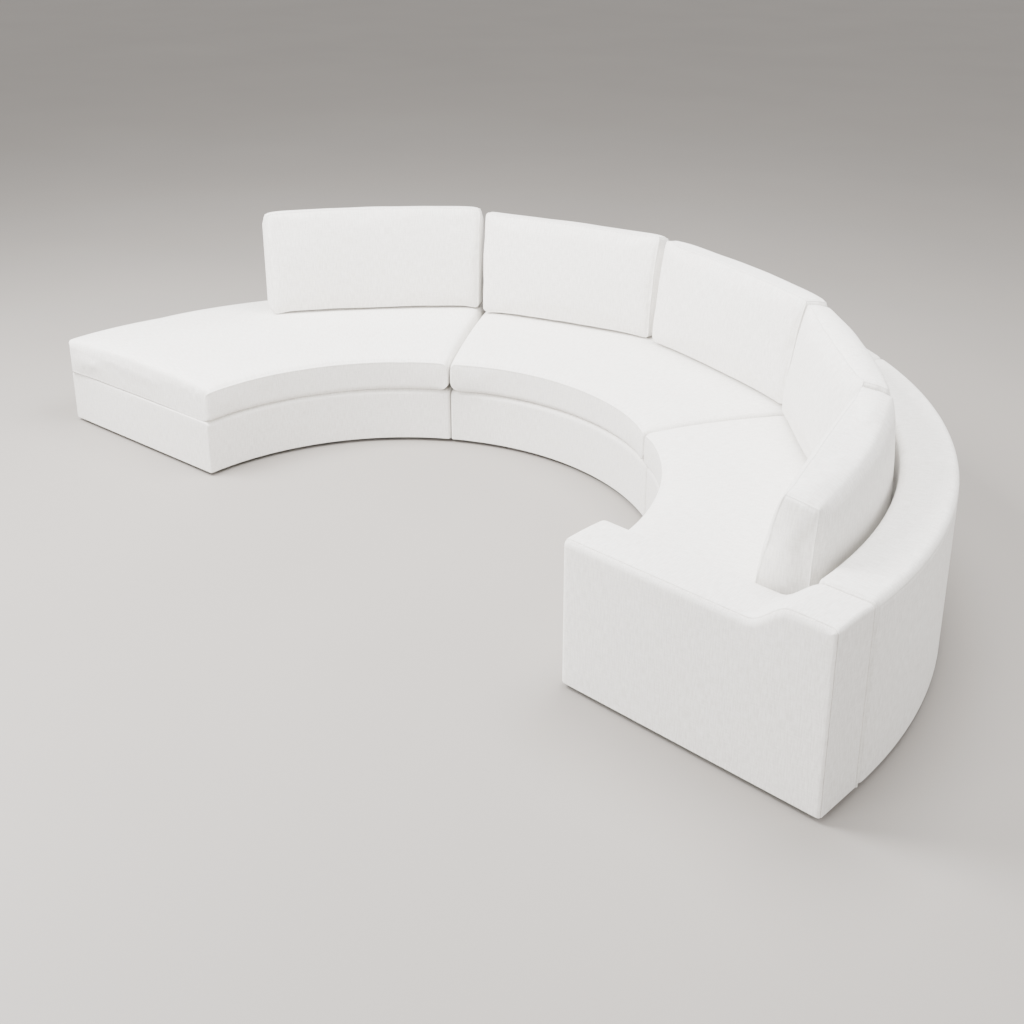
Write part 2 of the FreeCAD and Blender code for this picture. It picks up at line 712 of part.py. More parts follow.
# Arm: a padded block with a level top that rises in an S to the height of the back
half_run = (s.arm_rise_end - s.arm_rise_start) / 2
half_rise = (s.back_top - s.arm_top) / 2
half_chord = root(half_run * half_run + half_rise * half_rise)
s_swell = half_chord * (half_chord - half_run) / (half_rise * 2)
rise_middle = ((s.arm_rise_start + s.arm_rise_end) / 2, (s.arm_top + s.back_top) / 2)
arm_outline = [
    (s.arm_front + s.arm_round, s.ground_gap),
    (s.outer_r, s.ground_gap),
    (s.outer_r, s.back_top - s.edge_round, s.edge_round * QUARTER),
    (s.outer_r - s.edge_round, s.back_top),
    (s.arm_rise_end, s.back_top, s_swell),
    (rise_middle[0], rise_middle[1], s_swell * -1),
    (s.arm_rise_start, s.arm_top),
    (s.arm_front + s.arm_round, s.arm_top, s.arm_round * QUARTER),
    (s.arm_front, s.arm_top - s.arm_round),
    (s.arm_front, s.ground_gap + s.arm_round, s.arm_round * QUARTER),
]
inner_front = s.arm_front + s.wall
inner_rear = s.outer_r - s.wall
hollow_outline = [
    (inner_front, s.ground_gap - s.wall),
    (inner_rear, s.ground_gap - s.wall),
    (inner_rear, s.back_top - s.wall),
    (s.arm_rise_end + s.wall, s.back_top - s.wall),
    (s.arm_rise_start + s.wall * 2, s.arm_top - s.wall),
    (inner_front, s.arm_top - s.wall),
]
arm_cover = bar("arm_cover", arm_outline, s.arm_play, s.arm_width - s.arm_play)
doc.recompute()
block = arm_cover.Tip
long_edges = []
for index, edge in enumerate(block.Shape.Edges, start=1):
    middle_point = edge.CenterOfMass
    from_sides = (abs(middle_point.y + s.arm_play.value), abs(middle_point.y + s.arm_width.value))
    if min(from_sides) < LEVEL:
        long_edges.append("Edge%d" % index)
soft_edges = arm_cover.newObject("PartDesign::Fillet", "arm_soft_edges")
soft_edges.Base = (block, long_edges)
soft_edges.Radius = s.arm_edge.value
soft_edges.setExpression("Radius", s.arm_edge.text)
arm_cover.Tip = soft_edges
hollow_sketch = upright_sketch(arm_cover, "arm_hollow_outline", shift=s.arm_play + s.wall)
draw_outline(hollow_sketch, hollow_outline)
hollow = arm_cover.newObject("PartDesign::Pocket", "arm_hollow")
hollow.Profile = hollow_sketch
hollow.Reversed = True
hollow_width = s.arm_width - s.arm_play - s.wall * 2
hollow.Length = hollow_width.value
hollow.setExpression("Length", hollow_width.text)
hollow_sketch.Visibility = False
arm_cover.Tip = hollow
node(arm_cover, "arm_cover")

board_start = s.arm_play + s.wall + s.fit
board_width = s.arm_width - s.arm_play - (s.wall + s.fit) * 2
near_x = inner_front + s.fit
far_x = inner_rear - s.fit
under_top = s.arm_top - s.wall - s.fit - s.board
side_boards = []
side_outline_arm = box(near_x + s.board + s.fit, far_x - s.board - s.fit, s.frame_low, under_top - s.fit)
for name, shift in (("arm_inner", board_start), ("arm_outer", board_start + board_width - s.board)):
    side_boards.append(bar(name, side_outline_arm, shift, s.board))
cross_outlines = (
    ("arm_front_board", box(near_x, near_x + s.board, s.frame_low, under_top - s.fit)),
    ("arm_top_board", box(near_x, s.arm_rise_start, under_top, under_top + s.board)),
    ("arm_rear_board", box(far_x - s.board, far_x, s.frame_low, s.back_top - s.wall - s.fit)),
)
cross_boards = [bar(name, outline, board_start, board_width) for name, outline in cross_outlines]
dust = box(near_x, far_x, s.ground_gap, s.ground_gap + s.cloth)
node(bar("arm_dust_cover", dust, board_start, board_width), "arm_dust_cover")

# Bolts through the arm's inner board, its cover, the end panel and the first rib of the right module
bolt_rows = (s.arm_front + s.bolt_near, s.outer_r - s.bolt_far)
bolt_centres = [(along, up) for along in bolt_rows for up in (s.bolt_low, s.bolt_high)]
hole_r = s.bolt_r + s.bolt_play
for body in (arm_cover, side_boards[0], end_panels["right"][0], end_ribs["right"][0]):
    drill(body, bolt_centres, hole_r)
group("arm_side_boards", side_boards)
group("arm_cross_boards", cross_boards)
head_face = board_start + s.board
first_rib_angle = right[0] + s.end_angle + s.rib_inset
bolts = []
nuts = []
for along, up in bolt_centres:
    bolts.append(bolt(along, up, head_face))
    nuts.append(nut(along, up, first_rib_angle))
group("arm_bolts", bolts)
group("arm_bolt_nuts", nuts)

# Loose back cushions, counted from the open end
split_middle = s.seam_right + s.cushion_3_span
split_right = s.cushion_first + s.cushion_5_span
cushion_ends = [
    (s.seam_left, s.seam_left + s.cushion_1_span, s.outer_r - s.seat_play),
    (split_middle, s.seam_left, seat_rear),
    (s.seam_right, split_middle, seat_rear),
    (split_right, s.seam_right, seat_rear),
    (s.cushion_first, split_right, seat_rear),
]
for number, (start, end, rear) in enumerate(cushion_ends, start=1):
    name = "back_cushion_%d" % number
    form = cushion_form(name + "_form", number, start, end, rear, none, none)
    round_ends(form, s.cushion_soft)
    fill = cushion_form(name + "_fill", number, start, end, rear, s.cover, s.fill_angle)
    node(fill, name + "_fill")
    shell(name + "_cover", form, fill)

doc.recompute()
bad = [o.Name for o in doc.Objects if "Invalid" in o.State or "Error" in o.State]
if bad:
    raise RuntimeError("objects that did not build: %s" % bad)
os.makedirs("parts", exist_ok=True)
for thing in nodes:
    if thing.Shape.isNull() or not thing.Shape.isValid():
        raise RuntimeError("bad shape in %s" % thing.Label)
    thing.Shape.exportStep("parts/%s.step" % thing.Label)
print("wrote %d nodes" % len(nodes))
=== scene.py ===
import math

import bmesh
import bpy
import numpy as np
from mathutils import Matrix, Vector
from mathutils.bvhtree import BVHTree


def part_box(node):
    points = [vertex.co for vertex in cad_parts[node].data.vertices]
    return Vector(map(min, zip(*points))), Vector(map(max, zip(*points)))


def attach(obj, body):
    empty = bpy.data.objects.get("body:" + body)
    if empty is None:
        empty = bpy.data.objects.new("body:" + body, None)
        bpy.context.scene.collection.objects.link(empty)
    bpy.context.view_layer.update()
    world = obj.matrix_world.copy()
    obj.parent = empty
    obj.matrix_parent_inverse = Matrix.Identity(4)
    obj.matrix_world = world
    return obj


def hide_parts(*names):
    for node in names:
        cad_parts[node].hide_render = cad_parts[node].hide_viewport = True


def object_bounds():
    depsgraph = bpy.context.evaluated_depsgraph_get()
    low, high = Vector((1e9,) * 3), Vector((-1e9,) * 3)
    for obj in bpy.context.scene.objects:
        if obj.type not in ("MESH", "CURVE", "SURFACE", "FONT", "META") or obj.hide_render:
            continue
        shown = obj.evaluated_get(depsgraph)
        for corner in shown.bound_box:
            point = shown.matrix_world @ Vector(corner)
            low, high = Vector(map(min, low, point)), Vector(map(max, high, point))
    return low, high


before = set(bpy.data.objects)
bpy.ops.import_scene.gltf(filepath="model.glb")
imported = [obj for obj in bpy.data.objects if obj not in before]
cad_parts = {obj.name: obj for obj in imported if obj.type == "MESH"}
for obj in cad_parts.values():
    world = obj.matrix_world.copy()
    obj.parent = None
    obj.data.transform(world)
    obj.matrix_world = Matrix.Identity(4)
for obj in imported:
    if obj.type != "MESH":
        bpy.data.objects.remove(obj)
cad_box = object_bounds()

# Feet. Low round glides moulded in black polypropylene, screwed under the frame boards.
# They lift the cloth off the floor by their own height and show only as dark stubs in its shadow.
MODULES = ("left", "middle", "right")
MM = 0.001


def linear(hex_colour):
    """An sRGB hex colour as linear red, green, blue and alpha."""
    shares = [int(hex_colour[i:i + 2], 16) / 255 for i in (1, 3, 5)]
    return [*(((c + 0.055) / 1.055) ** 2.4 if c > 0.04045 else c / 12.92 for c in shares), 1.0]


def add(tree, kind, inputs=(), **settings):
    """Adds a node with its settings, and fills its inputs with values or links."""
    made = tree.nodes.new(kind)
    for name, value in settings.items():
        setattr(made, name, value)
    for name, value in dict(inputs).items():
        if isinstance(value, bpy.types.NodeSocket):
            tree.links.new(value, made.inputs[name])
        else:
            made.inputs[name].default_value = value
    return made


def new_material(name):
    """An empty material, and the tree that its section fills."""
    material = bpy.data.materials.new(name)
    material.use_nodes = True
    material.node_tree.nodes.clear()
    return material, material.node_tree


def blend(tree, share, dark, pale):
    """A colour between two hex colours, by the share that a texture gives."""
    mix = add(tree, "ShaderNodeMixRGB", {"Fac": share, "Color1": linear(dark), "Color2": linear(pale)})
    return mix.outputs["Color"]


def relief(tree, height, strength, depth):
    """A fine relief that follows the height that a texture gives."""
    bump = add(tree, "ShaderNodeBump", {"Height": height, "Strength": strength, "Distance": depth})
    return bump.outputs["Normal"]


def coat(tree, surface):
    """Ends a material's tree with its surface."""
    shader = add(tree, "ShaderNodeBsdfPrincipled", surface)
    add(tree, "ShaderNodeOutputMaterial", {"Surface": shader.outputs["BSDF"]})


def finish_nodes(names, material):
    """Gives carried-over CAD nodes their finish."""
    for name in names:
        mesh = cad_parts[name].data
        mesh.materials.clear()
        mesh.materials.append(material)


# Moulded polypropylene: near black, with the fine spark-eroded grain of its mould, so it shines dully.
glide_plastic, tree = new_material("moulded_polypropylene")
mould_grain = 1.2 * MM
where = add(tree, "ShaderNodeTexCoord").outputs["Object"]
noise = add(tree, "ShaderNodeTexNoise", {"Vector": where, "Scale": 1 / mould_grain, "Detail": 2.0})
grain = noise.outputs["Fac"]
coat(tree, {"Base Color": blend(tree, grain, "#0C0C0D", "#1B1B1C"), "Roughness": 0.5, "IOR": 1.49,
            "Normal": relief(tree, grain, 0.3, 0.2 * MM)})
finish_nodes([module + "_feet" for module in MODULES], glide_plastic)

# Frame boards. Rails, ribs, posts and panels of birch plywood, sawn to the curve, glued and screwed.
# They carry the webbing and the cloth, and are out of sight on the finished sofa.
# Birch plywood: pale honey-coloured veneer, matt, with fine darker grain that runs up the boards.
plywood, tree = new_material("birch_plywood")
grain_width, grain_length = 2.5 * MM, 90 * MM
where = add(tree, "ShaderNodeTexCoord").outputs["Object"]
stretched = add(tree, "ShaderNodeMapping",
                {"Vector": where, "Scale": (1 / grain_width, 1 / grain_width, 1 / grain_length)})
noise = add(tree, "ShaderNodeTexNoise", {"Vector": stretched.outputs["Vector"], "Scale": 1.0, "Detail": 4.0})
grain = noise.outputs["Fac"]
coat(tree, {"Base Color": blend(tree, grain, "#B48F5F", "#E0C596"), "Roughness": 0.7, "IOR": 1.5,
            "Normal": relief(tree, grain, 0.2, 0.2 * MM)})
boards = ("front_rail", "outer_rail", "ribs", "back_posts", "back_top_rail")
finish_nodes([module + "_" + board for module in MODULES for board in boards], plywood)
finish_nodes(["arm_side_boards", "arm_cross_boards"], plywood)

# Webbing. Straps of woven elastic, stretched from the front rail to the outer rail and stapled down.
# The cloth deck of the base lies on them, so they bear the seat cushions from below.
# Woven elastic: brown-black polypropylene yarn over rubber, ribbed along and across, and matt.
elastic, tree = new_material("woven_elastic")
rib_spacing, waves_in_unit = 3 * MM, 3
where = add(tree, "ShaderNodeTexCoord").outputs["Object"]
along, across = (
    add(tree, "ShaderNodeTexWave", {"Vector": where, "Scale": 1 / (waves_in_unit * rib_spacing)},
        bands_direction=axis)
    for axis in ("X", "Y")
)
crossed = add(tree, "ShaderNodeMath", {0: along.outputs["Fac"], 1: across.outputs["Fac"]},
              operation="MULTIPLY")
weave = crossed.outputs["Value"]
coat(tree, {"Base Color": blend(tree, weave, "#2A2621", "#4A443C"), "Roughness": 0.8,
            "Normal": relief(tree, weave, 0.5, 0.5 * MM)})
finish_nodes([module + "_webbing" for module in MODULES], elastic)

# Dust covers. Thin black non-woven cloth under each frame and under the arm, which hides the inside.
# A row of steel staples holds each one along its edges.
# Spun-bonded polypropylene: black, with pressed bond points in a close grid and a faint fibrous sheen.
dust_cloth, tree = new_material("spunbonded_polypropylene")
bond_spacing = 4 * MM
where = add(tree, "ShaderNodeTexCoord").outputs["Object"]
points = add(tree, "ShaderNodeTexVoronoi", {"Vector": where, "Scale": 1 / bond_spacing, "Randomness": 0.15})
bonds = points.outputs["Distance"]
coat(tree, {"Base Color": blend(tree, bonds, "#0E0E0F", "#242425"), "Roughness": 0.75, "Sheen Weight": 0.2,
            "Normal": relief(tree, bonds, 0.4, 0.3 * MM)})
finish_nodes([module + "_dust_cover" for module in MODULES] + ["arm_dust_cover"], dust_cloth)

# Zinc-plated steel: bluish grey metal, clear and slightly cloudy where the plating varies.
zinc_steel, tree = new_material("zinc_plated_steel")
cloud_size = 9 * MM
where = add(tree, "ShaderNodeTexCoord").outputs["Object"]
noise = add(tree, "ShaderNodeTexNoise", {"Vector": where, "Scale": 1 / cloud_size, "Detail": 3.0})
clouds = noise.outputs["Fac"]
dull = add(tree, "ShaderNodeMapRange", {"Value": clouds, "To Min": 0.3, "To Max": 0.5})
coat(tree, {"Base Color": blend(tree, clouds, "#A3A7AA", "#C4C8CB"), "Metallic": 1.0,
            "Roughness": dull.outputs["Result"]})

outer_radius = cad_box[1].x
centre_y = cad_box[1].y - outer_radius


def points_of(mesh):
    """The places of a mesh's vertices, one row for each."""
    places = np.empty(len(mesh.vertices) * 3)
    mesh.vertices.foreach_get("co", places)
    return places.reshape(-1, 3)


def polar(points):
    """The radius and the angle of points around the centre of the curve."""
    across, inward = points[:, 0], points[:, 1] - centre_y
    return np.hypot(across, inward), np.arctan2(inward, across) % math.tau


def span(name, above=-1.0):
    """Angles, radii and heights that a CAD node takes up around the centre of the curve."""
    points = points_of(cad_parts[name].data)
    points = points[points[:, 2] > above]
    radius, angle = polar(points)
    return angle.min(), angle.max(), radius.min(), radius.max(), points[:, 2].min(), points[:, 2].max()


def around(radius, angle, height):
    """Points from radius, angle and height around the centre of the curve."""
    radius, angle, height = np.broadcast_arrays(radius, angle, height)
    return np.stack([radius * np.cos(angle), centre_y + radius * np.sin(angle), height], axis=-1)


def new_object(name, data):
    """A new object in the scene."""
    made = bpy.data.objects.new(name, data)
    bpy.context.scene.collection.objects.link(made)
    return made


# The staples follow the hem of the dust cover at a steady spacing, each turned a little by hand.
staple_row = bpy.data.node_groups.new("staple_row", "GeometryNodeTree")
staple_row.interface.new_socket("Hem", in_out="INPUT", socket_type="NodeSocketGeometry")
staple_sizes = {"Spacing": 55 * MM, "Crown": 11 * MM, "Wire": 0.9 * MM, "Slant": math.radians(12)}
staple_inputs = {
    name: staple_row.interface.new_socket(name, in_out="INPUT", socket_type="NodeSocketFloat").identifier
    for name in staple_sizes
}
staple_row.interface.new_socket("Staples", in_out="OUTPUT", socket_type="NodeSocketGeometry")
given = add(staple_row, "NodeGroupInput").outputs
hem_curve = add(staple_row, "GeometryNodeMeshToCurve", {"Mesh": given["Hem"]})
places = add(staple_row, "GeometryNodeResampleCurve", {"Curve": hem_curve.outputs["Curve"],
                                                       "Length": given["Spacing"]}, mode="LENGTH")
along = add(staple_row, "FunctionNodeAlignRotationToVector",
            {"Vector": add(staple_row, "GeometryNodeInputTangent").outputs["Tangent"]}, axis="X")
least = add(staple_row, "ShaderNodeMath", {0: given["Slant"], 1: -1.0}, operation="MULTIPLY")
slant = add(staple_row, "FunctionNodeRandomValue", {"Seed": 4}, data_type="FLOAT")
floats = [socket for socket in slant.inputs if socket.type == "VALUE" and socket.enabled]
staple_row.links.new(least.outputs["Value"], floats[0])
staple_row.links.new(given["Slant"], floats[1])
slanted = next(socket for socket in slant.outputs if socket.type == "VALUE" and socket.enabled)
turn = add(staple_row, "FunctionNodeAxisAngleToRotation", {"Axis": (0.0, 0.0, 1.0), "Angle": slanted})
turned = add(staple_row, "FunctionNodeRotateRotation", {"Rotation": along.outputs["Rotation"],
                                                        "Rotate By": turn.outputs["Rotation"]})
bar_size = add(staple_row, "ShaderNodeCombineXYZ",
               {"X": given["Crown"], "Y": given["Wire"], "Z": given["Wire"]})
bar = add(staple_row, "GeometryNodeMeshCube", {"Size": bar_size.outputs["Vector"]})
row = add(staple_row, "GeometryNodeInstanceOnPoints",
          {"Points": places.outputs["Curve"], "Instance": bar.outputs["Mesh"],
           "Rotation": turned.outputs["Rotation"]})
real = add(staple_row, "GeometryNodeRealizeInstances", {"Geometry": row.outputs["Instances"]})
coated = add(staple_row, "GeometryNodeSetMaterial",
             {"Geometry": real.outputs["Geometry"], "Material": zinc_steel})
add(staple_row, "NodeGroupOutput", {"Staples": coated.outputs["Geometry"]})

hem_margin, hem_points = 6 * MM, 60
for module in MODULES:
    start, end, near, far, bottom = span(module + "_dust_cover")[:5]
    height = bottom - staple_sizes["Wire"] / 2
    angles = np.linspace(start, end, hem_points)
    hems = [around(radius, angles, height) for radius in (near + hem_margin, far - hem_margin)]
    if module == "right":
        low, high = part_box("arm_dust_cover")
        low, high = low + Vector((hem_margin,) * 3), high - Vector((hem_margin,) * 3)
        hems.append(np.array([(low.x, low.y, height), (high.x, low.y, height),
                              (high.x, high.y, height), (low.x, high.y, height)]))
    mesh = bpy.data.meshes.new(module + "_hem")
    joins = []
    for hem in hems:
        first = joins[-1][1] + 1 if joins else 0
        joins += [(first + i, first + i + 1) for i in range(len(hem) - 1)]
    mesh.from_pydata(np.concatenate(hems), joins, [])
    hem_piece = new_object(module + "_hem", mesh)
    stapling = hem_piece.modifiers.new("staples", "NODES")
    stapling.node_group = staple_row
    for name, identifier in staple_inputs.items():
        stapling[identifier] = staple_sizes[name]
    stapled = hem_piece.evaluated_get(bpy.context.evaluated_depsgraph_get())
    staples = new_object(module + "_staples", bpy.data.meshes.new_from_object(stapled))
    bpy.data.objects.remove(hem_piece)
    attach(staples, module + "_module")

# Connectors and bolts. Flat steel tongues on the outer modules slide into folded receivers under the
# middle one. Four bolts with nuts draw the arm against the end of the right module.
finish_nodes(["left_tongues", "right_tongues", "middle_receivers", "arm_bolts", "arm_bolt_nuts"], zinc_steel)

# Cloth of the base. Linen over a thin layer of wadding, drawn tight over the front board of each module
# and over the deck behind it. It is folded under at the bottom and stapled out of sight.
wall = 14 * MM
edge_round = 22 * MM
mesh_step, corner_points = 14 * MM, 9
merge_gap, sharp_angle = 0.02 * MM, math.radians(50)


def outline(corners, step=mesh_step):
    """Points along a line of (across, height, radius) corners that are rounded off."""
    points = []
    for number, (x, z, radius) in enumerate(corners):
        here = np.array((x, z))
        if radius == 0:
            points.append(here)
            continue
        back = np.array(corners[number - 1][:2]) - here
        on = np.array(corners[number + 1][:2]) - here
        back = back / np.linalg.norm(back)
        on = on / np.linalg.norm(on)
        half = math.acos(back @ on) / 2
        middle = here + (back + on) / np.linalg.norm(back + on) * radius / math.sin(half)
        first = here + back * radius / math.tan(half) - middle
        last = here + on * radius / math.tan(half) - middle
        bend = math.pi - 2 * half
        for share in np.linspace(0, 1, corner_points):
            arm = first * math.sin((1 - share) * bend) + last * math.sin(share * bend)
            points.append(middle + arm / math.sin(bend))
    filled = [points[0]]
    for start, end in zip(points, points[1:]):
        count = max(1, math.ceil(np.linalg.norm(end - start) / step))
        filled += [start + (end - start) * share for share in np.linspace(0, 1, count + 1)[1:]]
    return np.array(filled)


def outwards(line):
    """Directions square to a line, to the left of the way it runs."""
    ahead = np.gradient(line, axis=0)
    ahead /= np.linalg.norm(ahead, axis=1)[:, None]
    return np.stack([-ahead[:, 1], ahead[:, 0]], axis=1)


def new_piece(name, points, faces, tight=True):
    """A piece from points and faces, turned outwards. A tight one is smooth, with its doubles merged."""
    mesh = bpy.data.meshes.new(name)
    mesh.from_pydata(points, [], faces)
    shape = bmesh.new()
    shape.from_mesh(mesh)
    if tight:
        bmesh.ops.remove_doubles(shape, verts=shape.verts, dist=merge_gap)
    bmesh.ops.recalc_face_normals(shape, faces=shape.faces)
    shape.to_mesh(mesh)
    shape.free()
    if tight:
        mesh.polygons.foreach_set("use_smooth", [True] * len(mesh.polygons))
        mesh.set_sharp_from_angle(angle=sharp_angle)
    return new_object(name, mesh)


def skin(name, *shells):
    """Closed shells in one piece, each through rings of points that follow one another."""
    points, faces = [], []
    first = 0
    for rings in shells:
        count = len(rings[0])
        for near in range(first, first + (len(rings) - 1) * count, count):
            for i in range(count):
                after = (i + 1) % count
                faces.append((near + i, near + after, near + count + after, near + count + i))
        last = first + (len(rings) - 1) * count
        faces.append(tuple(range(first, first + count)))
        faces.append(tuple(range(last, last + count)))
        points += rings
        first = last + count
    return new_piece(name, np.concatenate(points), faces)


def sweep(name, line, lining, start, end):
    """Cloth whose outline and lining are carried round the curve from one angle to another."""
    ring = np.concatenate([line, lining])
    angles = np.linspace(start, end, math.ceil((end - start) * outer_radius / mesh_step) + 1)
    return skin(name, [around(ring[:, 0], angle, ring[:, 1]) for angle in angles])


# The weave is true to scale at one radius near the seats. Cloth counts as level by the rise of its normal.
scale_radius, level_rise = 0.8 * outer_radius, 0.7


def lay_weave(piece, curved=True):
    """A map in metres that lays the warp upright on walls, and from front to back on level cloth."""
    mesh = piece.data
    corners = np.empty(len(mesh.loops), int)
    mesh.loops.foreach_get("vertex_index", corners)
    points = points_of(mesh)[corners]
    normals = np.empty(len(mesh.polygons) * 3)
    mesh.polygons.foreach_get("normal", normals)
    counts = np.empty(len(mesh.polygons), int)
    mesh.polygons.foreach_get("loop_total", counts)
    normals = np.repeat(normals.reshape(-1, 3), counts, axis=0)
    across, inward = points[:, 0], points[:, 1]
    facing_along, facing_in = normals[:, 0], normals[:, 1]
    if curved:
        inward, angle = polar(points)
        across = angle * scale_radius
        facing_in = normals[:, 0] * np.cos(angle) + normals[:, 1] * np.sin(angle)
        facing_along = normals[:, 1] * np.cos(angle) - normals[:, 0] * np.sin(angle)
    level = abs(normals[:, 2]) > level_rise
    end = ~level & (abs(facing_along) > abs(facing_in))
    laid = np.stack([np.where(end, inward, across), np.where(level, inward, points[:, 2])], axis=1)
    mesh.uv_layers.new(name="weave").data.foreach_set("uv", laid.astype(np.float32).ravel())


# Linen blend: off-white and quite matt, with thick and thin yarns. The thick stretches, or slubs, show as
# short upright streaks a little paler and prouder than the rest. Real yarn is 1 mm wide, too fine to
# show from here, so the streaks are drawn as wide as four or five yarns.
linen, tree = new_material("slubbed_linen_blend")
slub_width, slub_length = 4.5 * MM, 42 * MM
pick_width, pick_length = 5 * MM, 30 * MM
patch_size = 300 * MM
laid = add(tree, "ShaderNodeUVMap", uv_map="weave").outputs["UV"]
warp_place = add(tree, "ShaderNodeMapping", {"Vector": laid, "Scale": (1 / slub_width, 1 / slub_length, 1.0)})
weft_place = add(tree, "ShaderNodeMapping", {"Vector": laid, "Scale": (1 / pick_length, 1 / pick_width, 1.0)})
warp = add(tree, "ShaderNodeTexNoise", {"Vector": warp_place.outputs["Vector"], "Scale": 1.0, "Detail": 3.0})
weft = add(tree, "ShaderNodeTexNoise", {"Vector": weft_place.outputs["Vector"], "Scale": 1.0, "Detail": 2.0})
patches = add(tree, "ShaderNodeTexNoise", {"Vector": laid, "Scale": 1 / patch_size, "Detail": 2.0})
thin_weft = add(tree, "ShaderNodeMath", {0: weft.outputs["Fac"], 1: 0.5}, operation="MULTIPLY")
yarns = add(tree, "ShaderNodeMath", {0: warp.outputs["Fac"], 1: thin_weft.outputs["Value"]}, operation="ADD")
streaks = add(tree, "ShaderNodeMapRange", {"Value": yarns.outputs["Value"], "From Min": 0.6, "From Max": 0.9})
streaked = blend(tree, streaks.outputs["Result"], "#E4E2DF", "#F5F4F2")
patched = blend(tree, patches.outputs["Fac"], "#FBFAF8", "#F3F1EE")
cloth_colour = add(tree, "ShaderNodeMixRGB", {"Fac": 1.0, "Color1": streaked, "Color2": patched},
                   blend_type="MULTIPLY")
coat(tree, {"Base Color": cloth_colour.outputs["Color"], "Roughness": 0.9, "IOR": 1.45, "Sheen Weight": 0.12,
            "Sheen Roughness": 0.6, "Normal": relief(tree, yarns.outputs["Value"], 0.35, 0.8 * MM)})


def upholster(piece, body, nodes, curved=True):
    """Gives a padded piece its cloth, hangs it on the body that it rides on, and hides the CAD nodes that it
    stands for.
    """
    lay_weave(piece, curved)
    piece.data.materials.append(linen)
    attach(piece, body)
    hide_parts(*nodes)


base_front = span("middle_base_cover")[2]
base_bottom, base_top = span("middle_base_cover")[4:]
back_front = span("middle_back_cover")[2]
back_top = span("middle_back_cover")[5]
base_front_line = [(base_front, base_bottom, 0), (base_front, base_top, edge_round)]
base_line = outline([*base_front_line, (back_front, base_top, 0)])
base_lining = np.array([(back_front, base_top - wall), (base_front + wall, base_top - wall),
                        (base_front + wall, base_bottom)])
for module in MODULES:
    start, end = span(module + "_base_cover")[:2]
    piece = sweep(module + "_base_cloth", base_line, base_lining, start, end)
    upholster(piece, module + "_module", [module + "_base_cover"])

# Cloth of the low back. Linen over wadding on the posts and the top rail, down the outside to the floor.
# A seam along the outer top edge joins the top panel to the outside panel. The daybed has no back, so
# there the outside panel ends at the height of the deck.
seam_depth, seam_width = 3 * MM, 5 * MM


def crease(line, place):
    """A line with a seam drawn into it at the point nearest to place."""
    lengths = np.concatenate([[0], np.cumsum(np.linalg.norm(np.diff(line, axis=0), axis=1))])
    seam = lengths[np.argmin(np.linalg.norm(line - np.array(place), axis=1))]
    kept = lengths[abs(lengths - seam) > 2.5 * seam_width]
    wanted = np.sort(np.concatenate([kept, seam + seam_width * np.array([-2, -1, -0.5, 0, 0.5, 1, 2])]))
    drawn = np.stack([np.interp(wanted, lengths, line[:, k]) for k in (0, 1)], axis=1)
    depth = seam_depth * np.clip(1 - abs(wanted - seam) / seam_width, 0, 1)
    return drawn - outwards(drawn) * depth[:, None]


back_round = 28 * MM
back_corners = [(back_front, back_top, back_round), (outer_radius, back_top, back_round)]
back_line = crease(outline([(back_front, base_top, 0), *back_corners, (outer_radius, base_bottom, 0)]),
                   (outer_radius, back_top - back_round))
back_lining = np.array([(outer_radius - wall, base_bottom), (outer_radius - wall, back_top - wall),
                        (back_front + wall, back_top - wall), (back_front + wall, base_top)])
for module in MODULES:
    start, end = span(module + "_back_cover")[:2]
    piece = sweep(module + "_back_cloth", back_line, back_lining, start, end)
    upholster(piece, module + "_module", [module + "_back_cover"])

tail_line = outline([(back_front, base_top, 0), (outer_radius, base_top, edge_round),
                     (outer_radius, base_bottom, 0)])
tail_lining = np.array([(outer_radius - wall, base_bottom), (outer_radius - wall, base_top - wall),
                        (back_front, base_top - wall)])
tail = sweep("left_tail_cloth", tail_line, tail_lining, *span("left_tail_cover")[:2])
upholster(tail, "left_module", ["left_tail_cover"])

# Cloth of the module ends. Each end board is wrapped in linen that turns over its edge on to the flat
# end, so where two modules meet, their round edges leave a fine dark groove.
end_round, daybed_round, arm_side_round, turn_steps = 18 * MM, 6 * MM, 16 * MM, 7
low_end = outline([*base_front_line, (outer_radius, base_top, edge_round), (outer_radius, base_bottom, 0)])
full_end = outline([*base_front_line, (back_front, base_top, 0), *back_corners,
                    (outer_radius, base_bottom, 0)])
back_end = outline([(back_front, base_top, 0), *back_corners, (outer_radius, base_top, 0)])


def end_board(line, inner, outer, rounding):
    """Rings of an end board from its inner angle to its outer one, rounded over at the outer face."""
    rings = []
    for turn in np.linspace(0, math.pi / 2, turn_steps):
        drawn = line - outwards(line) * rounding * (1 - math.cos(turn))
        rings.append(around(drawn[:, 0], inner + (outer - inner) * math.sin(turn),
                            np.maximum(drawn[:, 1], line[:, 1].min())))
    return rings


inner_ends = {module: span(module + "_base_cover")[:2] for module in MODULES}
outer_ends = {module: span(module + "_end_panels")[:2] for module in MODULES}
left_back_end = span("left_back_cover")[1]
left_back_edge = span("left_end_panels", above=base_top + wall)[1]
end_boards = {
    "right": [(full_end, 0, arm_side_round), (full_end, 1, end_round)],
    "middle": [(full_end, 0, end_round), (full_end, 1, end_round)],
    "left": [(full_end, 0, end_round), (low_end, 1, daybed_round)],
}
for module, ends in end_boards.items():
    shells = [end_board(line, inner_ends[module][side], outer_ends[module][side], rounding)
              for line, side, rounding in ends]
    if module == "left":
        shells.append(end_board(back_end, left_back_end, left_back_edge, end_round))
    upholster(skin(module + "_end_cloth", *shells), module + "_module", [module + "_end_panels"])

